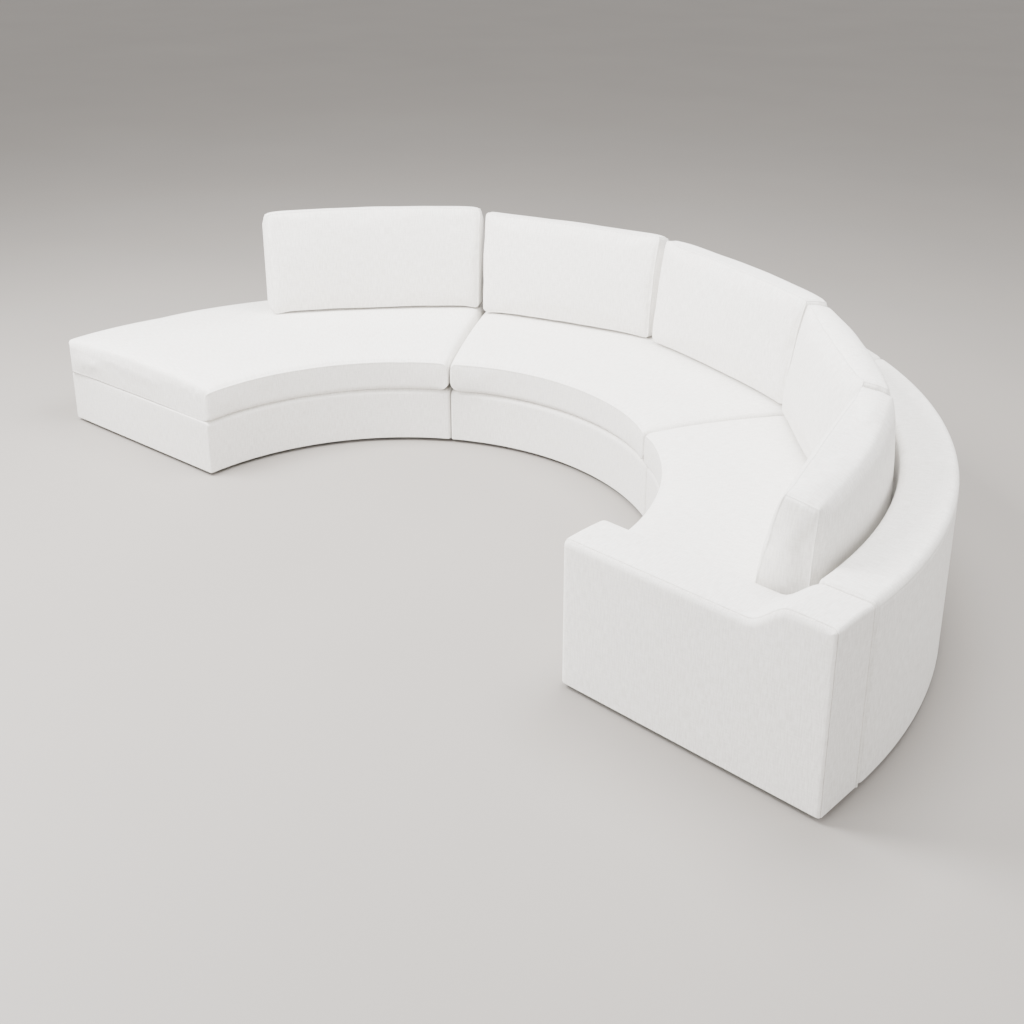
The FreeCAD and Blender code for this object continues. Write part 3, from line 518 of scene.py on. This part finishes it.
# Arm. A separate box of boards under wadding and linen, bolted to the end of the right module. Its top
# is level, then rises in a soft step to the height of the back. A seam runs along the outer edge, and
# where the arm meets the back, its edge is piped with a cord under the same cloth.
arm_low, arm_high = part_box("arm_cover")
arm_points = points_of(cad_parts["arm_cover"].data)
arm_middle = (arm_low.x + arm_high.x) / 2
arm_level = arm_points[arm_points[:, 0] < arm_middle, 2].max()
rise_length, rear_length, rise_points = 150 * MM, 158 * MM, 16
front_round, rear_round = 29 * MM, 16 * MM
outer_edge, inner_edge, rear_edge = 28 * MM, 26 * MM, 13 * MM
arm_crown, arm_belly, spine_inset = 4 * MM, 4 * MM, 250 * MM
side_shares, top_shares = np.linspace(0.1, 0.96, 10), np.linspace(0, 1, 13)[1:-1]
hem_gap = 1 * MM
rise_end = arm_high.x - rear_length
rise = [
    (rise_end - rise_length * (1 - share),
     arm_level + (arm_high.z - arm_level) * (1 - math.cos(math.pi * share)) / 2, 0)
    for share in np.linspace(0, 1, rise_points)
]
arm_bottom = arm_low.z + hem_gap
profile = outline([(arm_low.x, arm_bottom, 0), (arm_low.x, arm_level, front_round), *rise,
                   (arm_high.x, arm_high.z, rear_round), (arm_high.x, arm_bottom, 0)])
profile_out = outwards(profile)
near_front = np.clip((arm_low.x + 2 * front_round - profile[:, 0]) / (2 * front_round), 0, 1)
near_rear = np.clip((profile[:, 0] - back_front) / (2 * inner_edge) + 0.5, 0, 1)
at_rear = np.clip((profile[:, 0] - arm_high.x) / (2 * rear_round) + 1, 0, 1)
outer_rounds = outer_edge + (front_round - outer_edge) * near_front + (rear_edge - outer_edge) * at_rear
inner_rounds = inner_edge + (arm_side_round - inner_edge) * near_rear
facing_up = np.clip(profile_out[:, 1], 0, 1)


def arm_ring(across, inset):
    """The arm's profile drawn in by its inset, at the given places across the arm."""
    drawn = profile - profile_out * np.broadcast_to(inset, len(profile))[:, None]
    return np.stack([drawn[:, 0], np.broadcast_to(across, len(profile)),
                     np.maximum(drawn[:, 1], arm_bottom)], axis=1)


def crown(across):
    """How much lower the top of the arm is at places across it than along its middle."""
    half = (arm_high.y - arm_low.y) / 2
    return arm_crown * facing_up * ((across - arm_low.y - half) / half) ** 2


rings = []
spine = np.stack([np.clip(profile[:, 0], arm_low.x + spine_inset, arm_high.x - spine_inset),
                  np.full(len(profile), (arm_low.z + arm_level) / 2)], axis=1)
flat_rim = arm_ring(arm_low.y, outer_rounds + crown(np.full(len(profile), arm_low.y)))
for share in side_shares:
    place = spine + (flat_rim[:, [0, 2]] - spine) * share
    belly = arm_low.y + arm_belly * share ** 2
    rings.append(np.stack([place[:, 0], np.full(len(place), belly), place[:, 1]], axis=1))
seam_turn, seam_side, arm_seam = 62, 7, 4 * MM
for turn, depth in ((4, 0), (14, 0), (24, 0), (34, 0), (44, 0), (seam_turn - seam_side, 0),
                    (seam_turn, arm_seam), (seam_turn + seam_side, 0), (76, 0), (83, 0), (90, 0)):
    bend = math.radians(turn)
    across = arm_low.y + arm_belly + outer_rounds * (1 - math.cos(bend)) + depth * math.cos(bend)
    inset = outer_rounds * (1 - math.sin(bend)) + depth * math.sin(bend)
    rings.append(arm_ring(across, inset + crown(across)))
for share in top_shares:
    across = arm_low.y + arm_belly + outer_rounds
    across = across + (arm_high.y - inner_rounds - across) * share
    rings.append(arm_ring(across, crown(across)))
for turn in (90, 78, 66, 54, 42, 30, 15, 0):
    bend = math.radians(turn)
    across = arm_high.y - inner_rounds * (1 - math.cos(bend))
    rings.append(arm_ring(across, inner_rounds * (1 - math.sin(bend)) + crown(across)))
piping_radius, piping_sink, piping_side, cord_sides = 5 * MM, 1 * MM, 8 * MM, 12
piped = profile[:, 0] > back_front + inner_edge
cord = arm_ring(arm_high.y - piping_side, piping_sink)[piped]
cord_out = np.insert(profile_out[piped], 1, 0.0, axis=1)
piping = [
    np.array([place + piping_radius * (out * math.cos(turn) + np.array((0, math.sin(turn), 0)))
              for turn in np.linspace(0, math.tau, cord_sides, endpoint=False)])
    for place, out in zip(cord, cord_out)
]
upholster(skin("arm_cloth", rings, piping), "right_module", ["arm_cover"], curved=False)

# Seat cushions. One thick boxed cushion of foam in a loose linen cover lies on the deck of each module.
# Its panels are sewn to an upright band, but the top panel rolls over both ends without a seam. The front
# curls in a little above the base, and the cushion of the daybed covers the tail of the base as well.
seat_corner, daybed_corner = 4 * MM, 28 * MM
end_roll, end_lift, daybed_roll = 18 * MM, 45 * MM, 26 * MM
seat_overhang, front_curl, front_lift, curl_width = 11 * MM, 14 * MM, 8 * MM, 60 * MM
daybed_overhang = 9 * MM
pressed_width, ray_start = 80 * MM, 100 * MM
edge_height, deck_gap, back_gap, notch_gap = 165 * MM, 1 * MM, 2 * MM, math.radians(0.15)
ripple_share, even_rounds, soft_rounds = 0.3, 40, 30
seam_crease, sim_frames = 0.8, 20
seam_rows = np.array([0, 5, 12, 22]) * MM


def lines_between(low, high, step, metre=1.0):
    """Places of grid lines from low to high, close together at both ends. A metre may be an angle."""
    rows = seam_rows / metre
    count = max(2, round((high - low - 2 * rows[-1]) * metre / step))
    return np.concatenate([low + rows[:-1], np.linspace(low + rows[-1], high - rows[-1], count + 1),
                           high - rows[-2::-1]])


def round_corners(x, y, corners):
    """Moves the points of a grid so that its outer corners become round."""
    for corner_x, corner_y, way_x, way_y, metre, radius in corners:
        a = 1 - np.clip((x - corner_x) * way_x * metre / radius, 0, 1)
        b = 1 - np.clip((y - corner_y) * way_y / radius, 0, 1)
        inside = (a > 0) & (b > 0)
        share = np.maximum(a, b) / np.maximum(np.hypot(a, b), 1e-9)
        x = np.where(inside, corner_x + way_x * radius / metre * (1 - a * share), x)
        y = np.where(inside, corner_y + way_y * radius * (1 - b * share), y)
    return x, y


def outer_skin(name):
    """The outside of a hollow CAD cover, without the cavity in it, for rays and nearest points."""
    shape = bmesh.new()
    shape.from_mesh(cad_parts[name].data)
    bmesh.ops.remove_doubles(shape, verts=shape.verts, dist=merge_gap / 2)
    lowest = min(shape.verts, key=lambda vertex: vertex.co.z)
    reached, edge = {lowest}, [lowest]
    while edge:
        beyond = {side.other_vert(vertex) for vertex in edge for side in vertex.link_edges} - reached
        reached |= beyond
        edge = list(beyond)
    bmesh.ops.delete(shape, geom=[v for v in shape.verts if v not in reached], context="VERTS")
    tree = BVHTree.FromBMesh(shape)
    shape.free()
    return tree


def boxed(name, near, far, cells, step, seamless=None, far_seamless=None, joints=()):
    """A cushion of two panels over the same grid cells, and the band sewn between them.
    Where grid points are marked as seamless, the near or the far panel runs on into the band. At joints,
    lengths of the band are sewn end to end."""
    rows, columns = near.shape[:2]
    used = np.zeros((rows, columns), bool)
    for i, j in np.argwhere(cells):
        used[i:i + 2, j:j + 2] = True
    near_at = np.full((rows, columns), -1)
    near_at[used] = np.arange(used.sum())
    far_at = np.where(used, near_at + used.sum(), -1)
    points = [near[used], far[used]]
    faces, border = [], []
    padded = np.pad(cells, 1)
    for i, j in np.argwhere(cells):
        loop = [(i, j), (i + 1, j), (i + 1, j + 1), (i, j + 1)]
        faces.append([near_at[at] for at in loop])
        faces.append([far_at[at] for at in reversed(loop)])
        for side, beside in enumerate(((i + 1, j), (i + 2, j + 1), (i + 1, j + 2), (i, j + 1))):
            if not padded[beside]:
                border.append((loop[side], loop[(side + 1) % 4]))
    columns_at = {}
    total = 2 * used.sum()
    for at in sorted({at for edge in border for at in edge}):
        depth = np.linalg.norm(far[at] - near[at])
        shares = lines_between(0.0, 1.0, step, depth)
        if not columns_at:
            band = len(shares)
        shares = np.interp(np.linspace(0, 1, band), np.linspace(0, 1, len(shares)), shares)
        inner = near[at] + (far[at] - near[at]) * shares[1:-1, None]
        columns_at[at] = [near_at[at], *range(total, total + len(inner)), far_at[at]]
        points.append(inner)
        total += len(inner)
    seams = {frozenset(pair) for at in joints for pair in zip(columns_at[at], columns_at[at][1:])}
    for start, end in border:
        first, second = columns_at[start], columns_at[end]
        for k in range(band - 1):
            faces.append((first[k], first[k + 1], second[k + 1], second[k]))
        if seamless is None or not (seamless[start] and seamless[end]):
            seams.add(frozenset((first[0], second[0])))
        if far_seamless is None or not (far_seamless[start] and far_seamless[end]):
            seams.add(frozenset((first[-1], second[-1])))
    piece = new_piece(name, np.concatenate(points), faces, tight=False)
    sewn = piece.vertex_groups.new(name="seams")
    sewn.add([int(v) for edge in seams for v in edge], 1.0, "REPLACE")
    return piece, seams


def stuff(cushions, pressure, gather):
    """Fills closed covers by simulation: air pressure swells the cloth, and the seams draw together."""
    for piece in cushions:
        filling = piece.modifiers.new("stuffing", "CLOTH")
        filling.settings.quality = 6
        filling.settings.mass = 0.3
        filling.settings.tension_stiffness = 20
        filling.settings.compression_stiffness = 20
        filling.settings.shear_stiffness = 8
        filling.settings.bending_stiffness = 2
        filling.settings.use_pressure = True
        filling.settings.uniform_pressure_force = pressure
        filling.settings.effector_weights.gravity = 0
        filling.settings.vertex_group_shrink = "seams"
        filling.settings.shrink_min = 0.0
        filling.settings.shrink_max = gather
        filling.point_cache.frame_start = 1
        filling.point_cache.frame_end = sim_frames
    for moment in range(1, sim_frames + 1):
        bpy.context.scene.frame_set(moment)
    swollen = bpy.context.evaluated_depsgraph_get()
    shapes = [points_of(piece.evaluated_get(swollen).data) for piece in cushions]
    for piece in cushions:
        piece.modifiers.clear()
    bpy.context.scene.frame_set(1)
    return shapes


def press(piece, shape, ends):
    """Keeps a cushion as it was cut towards those ends, given as angles, that its neighbours press on."""
    resting = points_of(piece.data)
    angle = polar(resting)[1]
    free = np.ones(len(resting))
    for end in ends:
        free = np.minimum(free, abs(angle - end) * base_front / pressed_width)
    return resting + (shape - resting) * free[:, None]


def fit(values, low, high, lowest=None):
    """Stretches values evenly, so that they run from low to high. What was lowest becomes low."""
    lowest = values.min() if lowest is None else lowest
    return low + (values - lowest) * (high - low) / (values.max() - lowest)


def evened(values, edges, rounds, weight=1.0):
    """Values shared out between neighbouring points, as far as the points have weight."""
    near, far = edges.T
    neighbours = np.bincount(edges.ravel(), minlength=len(values))[:, None]
    for _ in range(rounds):
        around_them = np.zeros_like(values)
        np.add.at(around_them, near, values[far])
        np.add.at(around_them, far, values[near])
        values = values + weight * (around_them / neighbours - values) / 2
    return values


def sew(piece, seams, shape, node, cover, furthest, proud, ridge, dip, soft=None, past_end=0.0):
    """Settles a swollen cushion inside its cover, raises its seams to fine ridges and rounds it off.
    A soft edge, given as points along it, is rounded more. The far end may go past the cover."""
    mesh = piece.data
    before = points_of(mesh)
    edges = np.array([edge.vertices for edge in mesh.edges])
    move = shape - before
    even = evened(move, edges, even_rounds)
    move = even + (move - even) * ripple_share
    length = np.linalg.norm(move, axis=1)
    shape = before + move * np.minimum(1, furthest / np.maximum(length, 1e-9))[:, None]
    start, end, near, far, _, top = span(node)
    radius, angle = polar(shape)
    height = fit(shape[:, 2], before[:, 2].min(), top, before[:, 2].min())
    shape = around(fit(radius, near, far), fit(angle, start, end + past_end / near), height)
    for vertex, place in zip(mesh.vertices, shape):
        place = Vector(place)
        nearest, normal = cover.find_nearest(place)[:2]
        over = (place - nearest).dot(normal) - proud(normal)
        vertex.co = place - normal * max(0.0, over)
    if soft is not None:
        away = np.min(np.linalg.norm(before[:, None] - soft[None], axis=2), axis=1)
        weight = np.clip(2 - 2 * away / soft_width, 0, 1)
        eased = evened(points_of(mesh), edges, soft_rounds, weight[:, None])
        mesh.vertices.foreach_set("co", eased.ravel())
    mesh.update()
    lift = np.zeros(len(mesh.vertices))
    sewn = {v for edge in seams for v in edge}
    for edge in mesh.edges:
        if len(sewn.intersection(edge.vertices)) == 1:
            lift[list(edge.vertices)] = -dip
    lift[list(sewn)] = ridge
    raised = [vertex.co + vertex.normal * height for vertex, height in zip(mesh.vertices, lift)]
    for vertex, place in zip(mesh.vertices, raised):
        vertex.co = place
    creases = mesh.attributes.new("crease_edge", "FLOAT", "EDGE")
    creases.data.foreach_set("value", [seam_crease if frozenset(edge.vertices) in seams else 0.0
                                       for edge in mesh.edges])
    rounded = piece.modifiers.new("rounded", "SUBSURF")
    rounded.levels = 1
    rounded.render_levels = 1
    whole = piece.evaluated_get(bpy.context.evaluated_depsgraph_get())
    piece.data = bpy.data.meshes.new_from_object(whole)
    piece.modifiers.clear()
    piece.vertex_groups.clear()
    piece.data.polygons.foreach_set("use_smooth", [True] * len(piece.data.polygons))


def rolled(distance, radius):
    """How far cloth has dropped at a distance from the edge that it rolls over."""
    return radius * (1 - np.sqrt(1 - np.clip(1 - distance / radius, 0, 1) ** 2))


seat_step = 17 * MM
seat_slack, seat_swell = 3 * MM, 14 * MM
seats, seat_covers = [], []
for module in MODULES:
    cover = outer_skin(module + "_seat_cover")
    start, end, near, far, bottom, top = span(module + "_seat_cover")
    near = base_front - seat_overhang
    metre = (near + far) / 2
    if module == "left":
        narrow = back_front - back_gap
        notch = left_back_edge + notch_gap
        angles = np.concatenate([lines_between(start, notch, seat_step, metre),
                                 lines_between(notch, end, seat_step, metre)[1:]])
        radii = np.concatenate([lines_between(near, narrow, seat_step),
                                lines_between(narrow, far, seat_step)[1:]])
        cells = ~((angles[:-1, None] < notch - 1e-6) & (radii[None, :-1] > narrow - 1e-6))
        corners = [(start, near, 1, 1, near, seat_corner), (end, near, -1, 1, near, daybed_corner),
                   (start, narrow, 1, -1, narrow, seat_corner), (end, far, -1, -1, far, daybed_corner),
                   (notch, far, 1, -1, far, seat_corner)]
    else:
        angles = lines_between(start, end, seat_step, metre)
        radii = lines_between(near, far, seat_step)
        cells = np.ones((len(angles) - 1, len(radii) - 1), bool)
        corners = [(a, r, way_a, way_r, r, seat_corner)
                   for a, way_a in ((start, 1), (end, -1)) for r, way_r in ((near, 1), (far, -1))]
    angle, radius = round_corners(*np.meshgrid(angles, radii, indexing="ij"), corners)
    above = np.empty(angle.shape)
    for at in np.ndindex(angle.shape):
        inside = near + seat_slack, far - seat_slack
        place = around(np.clip(radius[at], *inside), angle[at], top + ray_start)
        hit = cover.ray_cast(Vector(place), Vector((0, 0, -1)))[0]
        above[at] = hit.z if hit else bottom + edge_height
    to_start, to_end = (angle - start) * radius, (end - angle) * radius
    daybed = module == "left"
    down = rolled(to_start, end_roll) + rolled(to_end, daybed_roll if daybed else end_roll)
    up = rolled(to_start, end_lift) + (0.0 if daybed else rolled(to_end, end_lift))
    upper = around(radius, angle, above - seat_slack - down)
    curled = np.clip(1 - (radius - near) / curl_width, 0, 1)
    lower = around(radius, angle, bottom + deck_gap + up + front_lift * curled)
    seamless = np.minimum(to_start, to_end) < MM
    piece, seams = boxed(module + "_seat_cushion", upper, lower, cells, seat_step, seamless)
    for vertex in piece.data.vertices:
        out = Vector((vertex.co.x, vertex.co.y - centre_y, 0))
        curled = max(0.0, 1 - (out.length - near) / curl_width)
        above_edge = vertex.co.z - bottom - deck_gap - front_lift * curled
        vertex.co += out.normalized() * curled * rolled(above_edge, front_curl)
    seats.append((piece, seams))
    seat_covers.append(cover)
seat_shapes = stuff([piece for piece, seams in seats], pressure=1.0, gather=0.003)
for module, (piece, seams), shape, cover in zip(MODULES, seats, seat_shapes, seat_covers):
    start, end = span(module + "_seat_cover")[:2]
    shape = press(piece, shape, [start] if module == "left" else [start, end])
    past_end = daybed_overhang if module == "left" else 0.0
    sew(piece, seams, shape, module + "_seat_cover", cover, seat_swell,
        lambda normal: seat_slack + 2 * past_end if normal.z < 0.5 else 0.0,
        ridge=0.9 * MM, dip=1.2 * MM, past_end=past_end)
    upholster(piece, module + "_seat", [module + "_seat_cover", module + "_seat_foam"])

# Back cushions. Five loose boxed cushions, filled with fibre, stand on the seat and lean on the low back.
# The rear panel rolls on over the top. All else is sewn to a band, and the seams gather the cloth a little.
cushion_corner = 26 * MM
cushion_step = 14 * MM
soft_end, corner_proud, cushion_swell = 40 * MM, 9 * MM, 12 * MM
soft_width, end_gap, centre_shift = 45 * MM, math.radians(0.1), 10 * MM
rear_foot_in, front_foot_out = 40 * MM, 8 * MM
stations, samples, rays, smooth_rounds = 49, 41, 360, 8


def sides_at(cover, angle, centre):
    """The front and the rear of a cushion's upright section, each from the bottom to the top."""
    out = Vector((math.cos(angle), math.sin(angle), 0))
    origin = Vector(around(centre[0], angle, centre[1]))
    rim = []
    for turn in np.linspace(0, math.tau, rays, endpoint=False):
        hit = cover.ray_cast(origin, out * math.cos(turn) + Vector((0, 0, math.sin(turn))))[0]
        rim.append((math.hypot(hit.x, hit.y - centre_y), hit.z))
    rim = np.array(rim)
    middle = (rim.min(axis=0) + rim.max(axis=0)) / 2
    even = (rim - middle) / (rim.max(axis=0) - middle)
    rear_top, front_top, front_bottom, rear_bottom = (
        np.argmax(even @ way) for way in ((1, 1), (-1, 1), (-1, -1), (1, -1)))
    sides = []
    for line in (rim[front_top:front_bottom + 1][::-1],
                 np.concatenate([rim[rear_bottom:], rim[:rear_top + 1]])):
        lengths = np.concatenate([[0], np.cumsum(np.linalg.norm(np.diff(line, axis=0), axis=1))])
        even_lengths = np.linspace(0, lengths[-1], samples)
        sides.append(np.stack([np.interp(even_lengths, lengths, line[:, k]) for k in (0, 1)], axis=1))
    return sides


def between(table, row, column):
    """Values of a table at places between its rows and columns."""
    i = np.clip(row.astype(int), 0, table.shape[0] - 2)
    j = np.clip(column.astype(int), 0, table.shape[1] - 2)
    u, v = (row - i)[..., None], (column - j)[..., None]
    return ((table[i, j] * (1 - u) + table[i + 1, j] * u) * (1 - v)
            + (table[i, j + 1] * (1 - u) + table[i + 1, j + 1] * u) * v)


CUSHIONS = ["back_cushion_%d" % number for number in range(1, 6)]
cushions, cushion_covers, soft_edges = [], [], []
for name in CUSHIONS:
    cover = outer_skin(name + "_cover")
    start, end, near, far, bottom, top = span(name + "_cover")
    start, end = start + end_gap, end - end_gap
    centre = ((near + far) / 2 + centre_shift, (bottom + top) / 2)
    first, last = start + soft_end / near, end - soft_end / near
    sections = np.array([sides_at(cover, angle, centre) for angle in np.linspace(first, last, stations)])
    for _ in range(smooth_rounds):
        sections[1:-1] = (sections[:-2] + 2 * sections[1:-1] + sections[2:]) / 4
    tall = top - bottom
    angles = lines_between(start, end, cushion_step, near)
    heights = lines_between(0.0, tall, cushion_step)
    corners = [(a, h, way_a, way_h, near, cushion_corner)
               for a, way_a in ((start, 1), (end, -1)) for h, way_h in ((0.0, 1), (tall, -1))]
    angle, height = round_corners(*np.meshgrid(angles, heights, indexing="ij"), corners)
    row = (angle - first) / (last - first) * (stations - 1)
    column = height / tall * (samples - 1)
    front, rear = (between(sections[:, side], row, column) for side in (0, 1))
    if name == CUSHIONS[-1]:
        foot = (1 - height / tall) * (end - angle) / (end - start)
        front[..., 0] -= front_foot_out * foot
        rear[..., 0] -= rear_foot_in * foot
    at_top = np.zeros(angle.shape, bool)
    at_top[:, -1] = True
    cells = np.ones((len(angles) - 1, len(heights) - 1), bool)
    front = around(front[..., 0], angle, front[..., 1])
    rear = around(rear[..., 0], angle, rear[..., 1])
    band_ends = [(i, j) for i in (0, len(angles) - 1) for j in (0, len(heights) - 1)]
    cushions.append(boxed(name + "_soft", front, rear, cells, cushion_step, far_seamless=at_top,
                          joints=band_ends))
    soft_edges.append(rear[:, -1])
    cushion_covers.append(cover)
cushion_shapes = stuff([piece for piece, seams in cushions], pressure=1.5, gather=0.005)
for name, (piece, seams), shape, cover, soft in zip(
        CUSHIONS, cushions, cushion_shapes, cushion_covers, soft_edges):
    start, end = span(name + "_cover")[:2]
    shape = press(piece, shape, {CUSHIONS[3]: [start], CUSHIONS[4]: [end]}.get(name, []))
    sew(piece, seams, shape, name + "_cover", cover, cushion_swell,
        lambda normal: corner_proud if normal.z > -0.5 else 0.0, ridge=1.5 * MM, dip=2 * MM, soft=soft)
    upholster(piece, name, [name + "_cover", name + "_fill"])

# Floor and light. A wide matt floor under a bright even sky. One large soft lamp hangs high on the left,
# one over the cushions, and two more fill in from the front and from the side of the arm.
floor_size = 60.0
bpy.ops.mesh.primitive_plane_add(size=floor_size, location=(0, 0, 0))
floor = bpy.context.object
floor.name = "studio_floor"
# Matt floor paint: warm mid grey, rolled on, with faint clouds where it dried unevenly.
floor_paint, tree = new_material("matt_floor_paint")
cloud_width = 1.6
where = add(tree, "ShaderNodeTexCoord").outputs["Object"]
clouds = add(tree, "ShaderNodeTexNoise", {"Vector": where, "Scale": 1 / cloud_width, "Detail": 3.0})
coat(tree, {"Base Color": blend(tree, clouds.outputs["Fac"], "#8F8A85", "#98938E"), "Roughness": 0.6})
floor.data.materials.append(floor_paint)

sky = bpy.data.worlds.new("studio_sky")
bpy.context.scene.world = sky
sky.use_nodes = True
sky.node_tree.nodes["Background"].inputs["Color"].default_value = linear("#F6F4F2")
sky.node_tree.nodes["Background"].inputs["Strength"].default_value = 1.0
for name, place, aim, size, power in (
    ("soft_key", (-2.2, -2.6, 4.4), (-0.4, -0.4, 0.2), 2.4, 900.0),
    ("soft_top", (1.0, 0.6, 4.6), (0.9, 0.2, 0.3), 2.6, 420.0),
    ("front_fill", (0.6, -6.5, 3.2), (0.3, 0.0, 0.4), 4.0, 420.0),
    ("side_fill", (5.5, 0.2, 2.6), (1.8, -0.2, 0.5), 3.0, 130.0),
):
    lamp = bpy.data.lights.new(name, "AREA")
    lamp.size = size
    lamp.energy = power
    stand = new_object(name, lamp)
    stand.location = place
    stand.rotation_euler = (Vector(aim) - Vector(place)).to_track_quat("-Z", "Y").to_euler()

# Camera. It stands in front of the arm, a little over two and a half metres up, and looks along the
# diagonal of the curve. The shift puts the sofa where the photograph has it.
camera = new_object("camera", bpy.data.cameras.new("camera"))
camera.location = (3.685, -4.070, 2.626)
camera.rotation_euler = (math.radians(69.16), 0, math.radians(43.8))
camera.data.lens = 47.0
camera.data.sensor_width = 36.0
camera.data.shift_y = -0.1424
bpy.context.scene.camera = camera
